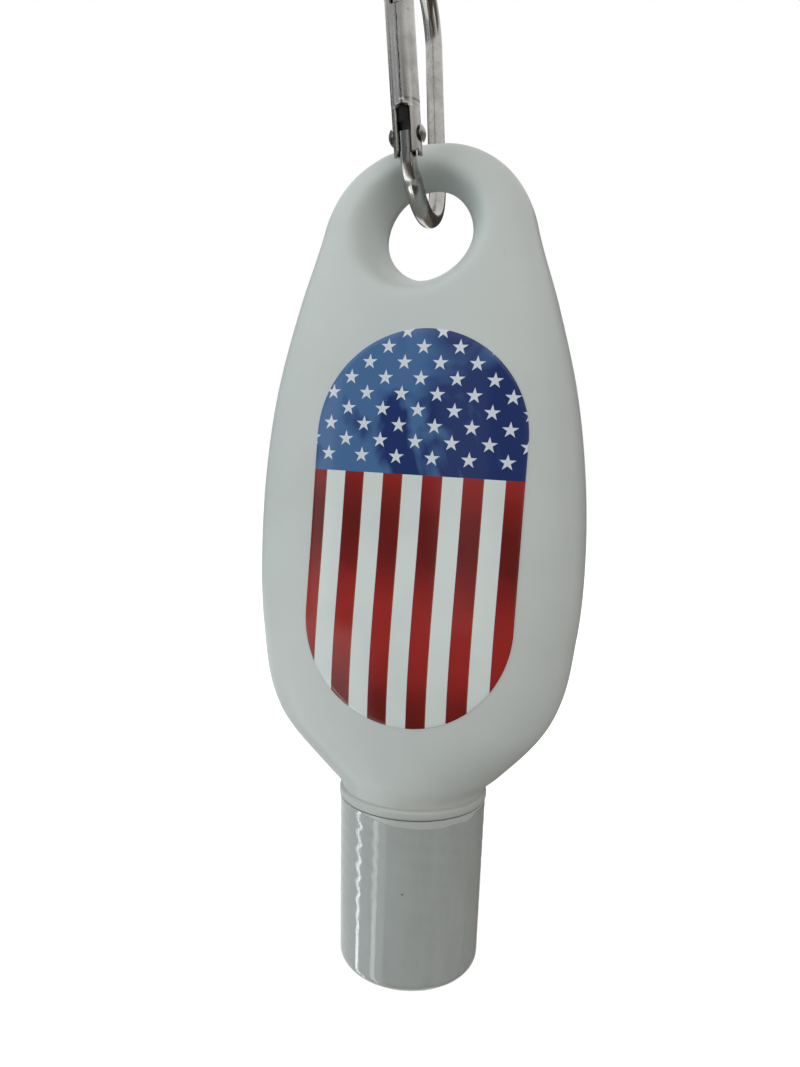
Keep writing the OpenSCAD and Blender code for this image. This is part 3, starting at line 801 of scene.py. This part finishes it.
def plastic_finish(name, colour, roughness, grain=1.0, specks=(), scratch=(), shade_top=None):
    """Moulded plastic with faint clouding, handling marks and a fine skin, and painted shade below a height.
    """
    f = Finish(name)
    cloud = f.between(f.noise(55, 4), 0.35, 0.68)
    tint = f.mix(cloud, darker(colour, 0.965), tuple(min(1, c * 1.02) for c in colour))
    scuff = f.between(f.noise(260, 6, 0.7, (1, 1, 0.25), 0.6), 0.655, 0.72)
    tint = f.mix(f.math("MULTIPLY", scuff, 0.22), tint, darker(colour, 0.72))
    # Painted shade: the colour turns darker towards the collar's groove below the given height
    if shade_top:
        part = f.node("ShaderNodeSeparateXYZ")
        f.put(part.inputs[0], f.place)
        low = f.between(part.outputs["Z"], (shade_top + CAP_END[2]) * MM, (shade_top - COLLAR_SHADE_H + CAP_END[2]) * MM)
        tint = f.mix(f.math("MULTIPLY", low, 0.55), tint, COLLAR_SHADE_COLOUR)
    if specks:
        tint = f.mix(f.math("MULTIPLY", f.spots(specks), 0.75), tint, SPECK_COLOUR)
    if scratch:
        tint = f.mix(f.math("MULTIPLY", f.spots(scratch), 0.6), tint, SCRATCH_COLOUR)
    f.set(Base_Color=tint)
    f.set(Roughness=f.between(f.noise(700, 3), 0.3, 0.7, roughness - 0.05, roughness + 0.06))
    f.set(Specular_IOR_Level=0.42, IOR=1.5)
    fine = f.noise(2600, 3)
    broad = f.noise(130, 3)
    f.bump(f.math("ADD", f.math("MULTIPLY", fine, 0.16 * grain), f.math("MULTIPLY", broad, 0.5)), 0.05, 0.5)
    return f.material


# The stars' half steps across and up, radius, place of one of the lowest row, and lean
STAR_STEP = (2.739, 2.330)
STAR_R = 1.24
STAR_ORIGIN = (-11.26, 83.75)
STAR_TURN = math.radians(-2.13)
STAR_LOWEST = -1.06
# A star's five sides lie at this share of its radius
STAR_WAIST = 0.309
# Lower edge of the blue, and width and start of the stripes
CANTON_LOW = -2.536
STRIPE_W = 3.046
STRIPE_START = -14.31
STRIPES = 11
STAR_WHITE = (0.66, 0.70, 0.77)
# Paler blue for the print's lighter patches and for a painted reflection on the blue
PALE_BLUE = (0.07, 0.16, 0.34)
# Thin tints where the red meets the white on its right and on its left
RED_RIGHT = (0.42, 0.16, 0.05)
RED_LEFT = (0.2, 0.03, 0.12)


def star_mask(f, x, y):
    """1 inside a five-pointed star at the middle of each cell of a lattice."""

    def local(value, step, shift):
        """Distance from the middle of the nearest cell."""
        share = f.math("FRACT", f.math("MULTIPLY_ADD", value, 1 / (2 * step), 0.5 + shift))
        return f.math("MULTIPLY", f.math("SUBTRACT", share, 0.5), 2 * step)

    masks = []
    for shift in (0.0, 0.5):
        dx = local(x, STAR_STEP[0], shift)
        dy = local(y, STAR_STEP[1], shift)
        total = 0.0
        for k in range(5):
            a = math.radians(90 + 72 * k)
            reach = f.math("MULTIPLY_ADD", dx, math.cos(a), f.math("MULTIPLY", dy, math.sin(a)))
            total = f.math("ADD", total, f.math("LESS_THAN", reach, STAR_WAIST * STAR_R))
        masks.append(f.math("GREATER_THAN", total, 3.5))
    return f.math("MAXIMUM", *masks)


def front_print(colours):
    """Glossy label print: rows of stars on blue over upright stripes."""
    f = Finish("Front print")
    part = f.node("ShaderNodeSeparateXYZ")
    f.put(part.inputs[0], f.place)
    u = f.math("MULTIPLY_ADD", part.outputs["X"], 1000.0, -CAP_END[0] - STAR_ORIGIN[0])
    v = f.math("MULTIPLY_ADD", part.outputs["Z"], 1000.0, -CAP_END[2] - STAR_ORIGIN[1])
    c, s = math.cos(STAR_TURN), math.sin(STAR_TURN)
    x = f.math("MULTIPLY_ADD", u, c, f.math("MULTIPLY", v, s))
    y = f.math("MULTIPLY_ADD", u, -s, f.math("MULTIPLY", v, c))
    stars = f.math("MULTIPLY", star_mask(f, x, y), f.math("GREATER_THAN", y, STAR_LOWEST))
    canton = f.math("GREATER_THAN", y, CANTON_LOW)

    along = f.math("MULTIPLY_ADD", v, math.tan(STAR_TURN), u)
    k = f.math("MULTIPLY_ADD", along, 1 / STRIPE_W, (STAR_ORIGIN[0] - STRIPE_START) / STRIPE_W)
    k = f.math("MINIMUM", f.math("MAXIMUM", k, 0.01), STRIPES - 0.01)
    share = f.math("FRACT", f.math("MULTIPLY", k, 0.5))
    red_place = f.math("LESS_THAN", share, 0.5)

    # The red is printed in soft waves of dark and bright, like hanging cloth
    sweep = f.math("MULTIPLY_ADD", v, 0.22, f.math("MULTIPLY", along, 0.035))
    fold = f.math("MULTIPLY_ADD", f.math("SINE", f.math("ADD", sweep, 0.6)), 0.5, 0.5)
    cloth = f.math("ADD", f.math("MULTIPLY", fold, 0.75), f.math("MULTIPLY", f.noise(170, 3), 0.5))
    red = f.mix(f.between(cloth, 0.25, 0.95), darker(colours.print_red, 0.62),
                (colours.print_red[0] * 1.5, colours.print_red[1] * 1.3, colours.print_red[2] * 1.25))
    edge = f.between(share, 0.468, 0.498)
    red = f.mix(f.math("MULTIPLY", edge, 0.6), red, RED_RIGHT)
    edge = f.between(share, 0.03, 0.0)
    red = f.mix(f.math("MULTIPLY", edge, 0.6), red, RED_LEFT)

    white = colours.print_white
    white = f.mix(f.between(f.noise(90, 2), 0.4, 0.62), darker(white, 0.95), white)
    stripes = f.mix(red_place, white, red)
    # The blue is paler in soft patches, most of all at its left and top: partly the print's own tone, partly
    # a painted reflection
    paler_print_and_reflection = f.math("ADD", f.noise(62, 3, 0.5, (1, 1, 0.6), 1.2), f.between(u, 5.0, 19.0, 0.13, -0.08))
    paler_print_and_reflection = f.math("ADD", paler_print_and_reflection, f.between(v, 9.0, 16.0, 0.0, 0.08))
    pale = f.math("MULTIPLY", f.between(paler_print_and_reflection, 0.47, 0.57), 0.92)
    field = f.mix(stars, f.mix(pale, colours.print_blue, PALE_BLUE), STAR_WHITE)
    f.set(Base_Color=f.mix(canton, stripes, field))
    f.set(Roughness=f.between(f.noise(420, 4), 0.3, 0.7, 0.10, 0.19))
    f.set(Specular_IOR_Level=0.32, Coat_Weight=0.12, Coat_Roughness=0.05)
    f.bump(f.noise(120, 2), 0.05, 0.35)
    return f.material


def back_print(colours):
    """Plain glossy paper-white label."""
    f = Finish("Back print")
    f.set(Base_Color=f.mix(f.between(f.noise(80, 3), 0.35, 0.65), darker(colours.print_white, 0.95),
                           colours.print_white))
    f.set(Roughness=f.between(f.noise(420, 4), 0.3, 0.7, 0.12, 0.22))
    f.set(Coat_Weight=0.3, Coat_Roughness=0.08)
    f.bump(f.noise(110, 2), 0.05, 0.35)
    return f.material


def film_finish(colours):
    """Thin clear film with a little haze and shallow lengthwise wrinkles."""
    f = Finish("Shrunk film")
    haze = f.between(f.noise(160, 4, 0.6, (1, 1, 0.3)), 0.4, 0.66)
    tint = f.mix(haze, darker(colours.cap, 1.12), darker(colours.cap, 1.24))
    smudge = f.spots(FILM_SMUDGES)
    f.set(Base_Color=f.mix(smudge, tint, SMUDGE_COLOUR))
    f.set(Roughness=f.between(f.noise(500, 4, 0.6, (1, 1, 0.2)), 0.3, 0.7, 0.05, 0.11))
    f.set(Alpha=f.between(smudge, 0, 1, 0.42, 0.8))
    f.set(Specular_IOR_Level=0.5, Coat_Weight=0.5, Coat_Roughness=0.03)
    f.bump(f.math("ADD", f.noise(95, 2, 0.5, (1, 1, 0.35)), f.math("MULTIPLY", f.noise(420, 3), 0.10)),
           0.10, 0.32)
    return f.material


def metal_finish(name, colour, roughness, along=(1, 1, 0.06)):
    """Plated steel with fine drawing lines, small pits and worn dull places."""
    f = Finish(name)
    worn = f.between(f.noise(240, 5, 0.65), 0.42, 0.66)
    pits = f.between(f.noise(2300, 3, 0.6), 0.63, 0.7)
    tint = f.mix(worn, colour, darker(colour, 0.8))
    f.set(Base_Color=f.mix(f.math("MULTIPLY", pits, 0.55), tint, darker(colour, 0.25)))
    f.set(Metallic=1.0)
    lines = f.noise(2600, 4, 0.65, along)
    f.set(Roughness=f.math("ADD", f.between(worn, 0, 1, roughness, roughness + 0.10),
                           f.math("MULTIPLY", lines, 0.10)))
    f.bump(f.math("SUBTRACT", lines, f.math("MULTIPLY", pits, 0.8)), 0.012, 0.35)
    return f.material


def paint(piece, material):
    """Gives a piece its one material."""
    piece.data.materials.clear()
    piece.data.materials.append(material)


# Stage

# The camera's place and axes in metres, its lens in millimetres
CAMERA_AT = (0.03944, -0.1220, -0.08447)
CAMERA_RIGHT = (0.9514, 0.3066, 0.0290)
CAMERA_UP = (-0.0458, 0.0478, 0.9978)
CAMERA_LENS = 26.05
SENSOR_WIDTH = 36.0
# How far the floor lies below the cap in millimetres, and its half size in metres
FLOOR_DROP = 40.0
FLOOR_HALF = 6
FLOOR_TONE = (0.36, 0.36, 0.35)
WORLD_TONE = (0.99, 1.0, 0.98, 1)
WORLD_LIGHT = 0.45
# The floor turns to plain white between these distances in metres, from this share of white
FLOOR_FADE = (0.20, 0.40)
FLOOR_NEAR = 0.80
# Lamps: name, place, size, power and tint
LAMPS = (
    ("Key", (-0.62, -0.34, 0.16), (0.5, 0.8), 2.8, (0.87, 0.98, 1.0)),
    ("Fill", (0.42, -0.54, 0.14), (0.5, 0.6), 1.75, (1.0, 0.975, 0.93)),
    ("Back", (-0.30, 0.62, 0.16), (0.6, 0.6), 2.2, (0.97, 0.99, 1.0)),
)
LAMPS_AIM = (0.003, 0, -0.09)

# Upright cards that only gloss and metal see: name, light, and first and last bearing in degrees from the
# camera's, counted to the right round the bottle
CARDS = (
    ("Card_back_left", (0.03, 0.03, 0.035), -179, -128),
    ("Card_left", (0.14, 0.16, 0.18), -120, -92),
    ("Card_side_left", (0.40, 0.44, 0.48), -84, -58),
    ("Card_front_left", (0.10, 0.11, 0.12), -50, -30),
    ("Card_front_pale", (0.42, 0.45, 0.48), -30, -12),
    ("Card_front_dark", (0.09, 0.075, 0.065), -12, 12),
    ("Card_front_right", (0.34, 0.31, 0.27), 12, 34),
    ("Card_side_right", (0.13, 0.11, 0.09), 52, 84),
    ("Card_right", (0.34, 0.31, 0.27), 84, 112),
    ("Card_back_right", (0.07, 0.06, 0.05), 116, 172),
)
# Their distance, and their lowest and highest point, in metres
CARD_AWAY = 0.80
CARD_LOW, CARD_HIGH = -0.24, 0.34
# Cards that lie on the floor: name, light, first and last bearing, nearest and farthest point in metres
FLOOR_CARDS = (
    ("Glow_edge", (8.5, 9.2, 9.4), -92, -86, 0.03, 0.24),
    ("Glow_side", (4.2, 4.6, 4.7), -61, -53, 0.03, 0.24),
    ("Card_floor", (0.10, 0.08, 0.062), -40, 75, 0.02, 0.79),
    ("Card_floor_right", (0.22, 0.19, 0.16), 75, 172, 0.02, 0.79),
)


def area_light(name, at, to, size, power, tint):
    """A rectangular lamp that faces a point."""
    lamp = bpy.data.lights.new(name, "AREA")
    lamp.shape = "RECTANGLE"
    lamp.size, lamp.size_y = size
    lamp.energy = power
    lamp.color = tint
    holder = bpy.data.objects.new(name, lamp)
    holder.location = at
    holder.rotation_euler = (Vector(to) - Vector(at)).to_track_quat("-Z", "Z").to_euler()
    bpy.context.scene.collection.objects.link(holder)
    return holder


def stage_sheet(name, corners, material):
    """A flat sheet that belongs to the stage."""
    mesh = bpy.data.meshes.new(name)
    mesh.from_pydata(corners, [], [tuple(range(len(corners)))])
    sheet = bpy.data.objects.new(name, mesh)
    bpy.context.scene.collection.objects.link(sheet)
    mesh.materials.append(material)
    return sheet


def white_to_camera(tree, shader, light):
    """Mixes a shader with a plain white light for what the camera, gloss and glass see."""
    path = tree.nodes.new("ShaderNodeLightPath")
    seen = path.outputs["Is Camera Ray"]
    for ray in ("Is Glossy Ray", "Is Transmission Ray"):
        more = tree.nodes.new("ShaderNodeMath")
        more.operation = "MAXIMUM"
        tree.links.new(seen, more.inputs[0])
        tree.links.new(path.outputs[ray], more.inputs[1])
        seen = more.outputs[0]
    blend = tree.nodes.new("ShaderNodeMixShader")
    tree.links.new(seen, blend.inputs[0])
    tree.links.new(shader, blend.inputs[1])
    tree.links.new(light, blend.inputs[2])
    return blend.outputs[0]


def reflecting_card(name, tone, corners):
    """A glowing or dark sheet that only gloss and metal see."""
    f = Finish(name)
    glow = f.node("ShaderNodeEmission")
    f.put(glow.inputs["Color"], tone)
    f.surface(glow.outputs[0])
    card = stage_sheet(name, corners, f.material)
    for ray in ("camera", "diffuse", "shadow", "transmission", "volume_scatter"):
        setattr(card, "visible_" + ray, False)


def build_stage():
    """Floor, world, lamps, reflecting cards and the camera."""
    scene = bpy.context.scene
    scene.view_settings.view_transform = "Standard"

    camera = bpy.data.cameras.new("Camera")
    camera.lens = CAMERA_LENS
    camera.sensor_width = SENSOR_WIDTH
    camera.clip_start = 0.01
    holder = bpy.data.objects.new("Camera", camera)
    right, up = Vector(CAMERA_RIGHT).normalized(), Vector(CAMERA_UP).normalized()
    back = right.cross(up)
    turn = Matrix((right, up, back)).transposed().to_4x4()
    turn.translation = CAMERA_AT
    holder.matrix_world = turn
    scene.collection.objects.link(holder)
    scene.camera = holder

    world = bpy.data.worlds.new("World")
    scene.world = world
    world.use_nodes = True
    tree = world.node_tree
    out = tree.nodes["World Output"]
    soft = tree.nodes["Background"]
    soft.inputs["Color"].default_value = WORLD_TONE
    soft.inputs["Strength"].default_value = WORLD_LIGHT
    bright = tree.nodes.new("ShaderNodeBackground")
    bright.inputs["Color"].default_value = (1, 1, 1, 1)
    bright.inputs["Strength"].default_value = 1.0
    tree.links.new(white_to_camera(tree, soft.outputs[0], bright.outputs[0]), out.inputs["Surface"])

    f = Finish("Floor")
    matte = f.node("ShaderNodeBsdfDiffuse")
    f.put(matte.inputs["Color"], FLOOR_TONE)
    away = f.node("ShaderNodeVectorMath", operation="LENGTH")
    f.put(away.inputs[0], f.place)
    glow = f.node("ShaderNodeEmission")
    f.put(glow.inputs["Strength"], f.between(away.outputs["Value"], *FLOOR_FADE, FLOOR_NEAR, 1.0))
    both = f.node("ShaderNodeAddShader")
    f.put(both.inputs[0], matte.outputs[0])
    f.put(both.inputs[1], glow.outputs[0])
    f.surface(white_to_camera(f.tree, matte.outputs[0], both.outputs[0]))
    z = (CAP_END[2] - FLOOR_DROP) * MM
    corners = [(-1, -1), (1, -1), (1, 1), (-1, 1)]
    stage_sheet("Floor", [(x * FLOOR_HALF, y * FLOOR_HALF, z) for x, y in corners], f.material)

    def around(bearing, away):
        """A place at a bearing from the camera's and a distance from the cap's axis."""
        a = math.radians(bearing + CAMERA_BEARING)
        return CAP_END[0] * MM + away * math.sin(a), -away * math.cos(a)

    for name, tone, *bearings in CARDS:
        a, b = (around(bearing, CARD_AWAY) for bearing in bearings)
        reflecting_card(name, tone, [(*a, CARD_LOW), (*b, CARD_LOW), (*b, CARD_HIGH), (*a, CARD_HIGH)])
    for name, tone, first, last, near, far in FLOOR_CARDS:
        turns = np.linspace(first, last, 9)
        edge = [around(turn, near) for turn in turns] + [around(turn, far) for turn in turns[::-1]]
        reflecting_card(name, tone, [(*corner, z + 0.001) for corner in edge])

    for name, at, size, power, tint in LAMPS:
        area_light(name, at, LAMPS_AIM, size, power, tint).visible_glossy = False


# Operators, panel and registration


class BOTTLE_OT_body(bpy.types.Operator):
    """Build the moulded body with its pinched eye"""

    bl_idname = "bottle.body"
    bl_label = "Body"

    def execute(self, context):
        colours = context.scene.bottle_colours
        # The body gets painted shade towards its collar, below the last argument's height
        finish = plastic_finish("Body plastic", colours.plastic, 0.42, 1.0, BODY_SPECKS, BODY_SCRATCH,
                                COLLAR_SHADE_TOP)
        paint(build_body(context), finish)
        return {"FINISHED"}


class BOTTLE_OT_labels(bpy.types.Operator):
    """Build the front and back labels"""

    bl_idname = "bottle.labels"
    bl_label = "Labels"

    def execute(self, context):
        colours = context.scene.bottle_colours
        front = build_label(context, "Front_label", "front_label", -1, LABEL_X, LABEL_LEAN)
        paint(front, front_print(colours))
        back = build_label(context, "Back_label", "back_label", 1, 0.0, 0.0)
        paint(back, back_print(colours))
        return {"FINISHED"}


class BOTTLE_OT_cap(bpy.types.Operator):
    """Build the film on the cap and finish the cap's solids"""

    bl_idname = "bottle.cap"
    bl_label = "Cap"

    def execute(self, context):
        colours = context.scene.bottle_colours
        paint(build_film(context), film_finish(colours))
        paint(NODES["cap_shell"], plastic_finish("Cap plastic", colours.cap, 0.3))
        paint(NODES["cap_disc"], plastic_finish("Disc plastic", darker(colours.cap, 0.97), 0.34))
        paint(NODES["cap_liner"], plastic_finish("Liner foam", darker(colours.cap, 1.1), 0.6, 3))
        return {"FINISHED"}


class BOTTLE_OT_hook(bpy.types.Operator):
    """Build the snap hook's wire and rolled gate, and finish its small solids"""

    bl_idname = "bottle.hook"
    bl_label = "Hook"

    def execute(self, context):
        steel = context.scene.bottle_colours.steel
        paint(build_wire(context), metal_finish("Wire plating", steel, 0.14))
        gate = build_gate(context)
        paint(gate, metal_finish("Gate plating", darker(steel, 1.05), 0.2))
        # Painted shade: the inner side of the gate's sheet is coloured near black
        gate.data.materials.append(metal_finish("Gate inside in painted shade", darker(steel, 0.1), 0.4))
        pin = metal_finish("Pin steel", darker(steel, 0.85), 0.26, (1, 1, 1))
        for name in ("gate_rivet", "gate_latch_pin"):
            paint(NODES[name], pin)
        # Painted shade: the plunger inside the gate is coloured near black
        paint(NODES["gate_plunger"], metal_finish("Plunger in painted shade", darker(steel, 0.09), 0.45, (1, 1, 1)))
        paint(NODES["gate_spring"], metal_finish("Spring steel", darker(steel, 0.75), 0.28, (1, 1, 1)))
        return {"FINISHED"}


class BOTTLE_OT_stage(bpy.types.Operator):
    """Set up the floor, the lamps and the camera"""

    bl_idname = "bottle.stage"
    bl_label = "Stage"

    def execute(self, context):
        build_stage()
        return {"FINISHED"}


class BOTTLE_PT_panel(bpy.types.Panel):
    """Lists the steps that dress the bottle"""

    bl_idname = "BOTTLE_PT_panel"
    bl_label = "Hanging bottle"
    bl_space_type = "VIEW_3D"
    bl_region_type = "UI"
    bl_category = "Bottle"

    def draw(self, context):
        for step in STEPS:
            self.layout.operator(step.bl_idname)
        for group in (context.scene.bottle_sizes, context.scene.bottle_colours):
            for key in group.__annotations__:
                self.layout.prop(group, key)


STEPS = (BOTTLE_OT_body, BOTTLE_OT_labels, BOTTLE_OT_cap, BOTTLE_OT_hook, BOTTLE_OT_stage)
CLASSES = (BottleSizes, BottleColours) + STEPS + (BOTTLE_PT_panel,)


def register():
    """Adds the classes and the scene's properties."""
    for each in CLASSES:
        bpy.utils.register_class(each)
    bpy.types.Scene.bottle_sizes = PointerProperty(type=BottleSizes)
    bpy.types.Scene.bottle_colours = PointerProperty(type=BottleColours)


def unregister():
    """Takes them away again."""
    del bpy.types.Scene.bottle_colours
    del bpy.types.Scene.bottle_sizes
    for each in reversed(CLASSES):
        bpy.utils.unregister_class(each)


def main():
    """Builds everything in order."""
    register()
    bpy.ops.bottle.body()
    bpy.ops.bottle.labels()
    bpy.ops.bottle.cap()
    bpy.ops.bottle.hook()
    bpy.ops.bottle.stage()
    bpy.context.view_layer.update()


if __name__ == "__main__":
    main()
